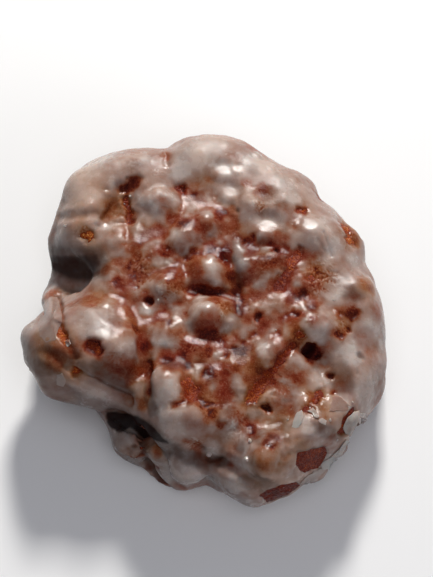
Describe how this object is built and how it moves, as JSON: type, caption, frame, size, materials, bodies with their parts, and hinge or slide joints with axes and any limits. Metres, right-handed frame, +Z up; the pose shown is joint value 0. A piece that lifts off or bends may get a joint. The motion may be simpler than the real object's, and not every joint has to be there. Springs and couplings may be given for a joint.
{
  "type": "apple fritter",
  "caption": "Flat, craggy, roughly round cake of fried dough with lumps, cracks and hollows, glazed all over, to rest on its flat underside as a prop food.",
  "frame": {"origin": "middle of the bounding box, on the plane the fritter rests on", "axes": "+Z up, +Y away from the picture's camera, +X to the right in the picture"},
  "size_m": [0.132, 0.143, 0.042],
  "materials": {
    "crust": "fried dough, reddish brown and rough, with sugar glaze over it",
    "glaze": "set sugar glaze, greyish white, glossy, thin enough to show the crust"
  },
  "bodies": {
    "root": {"fritter": "crust"}
  },
  "joints": []
}
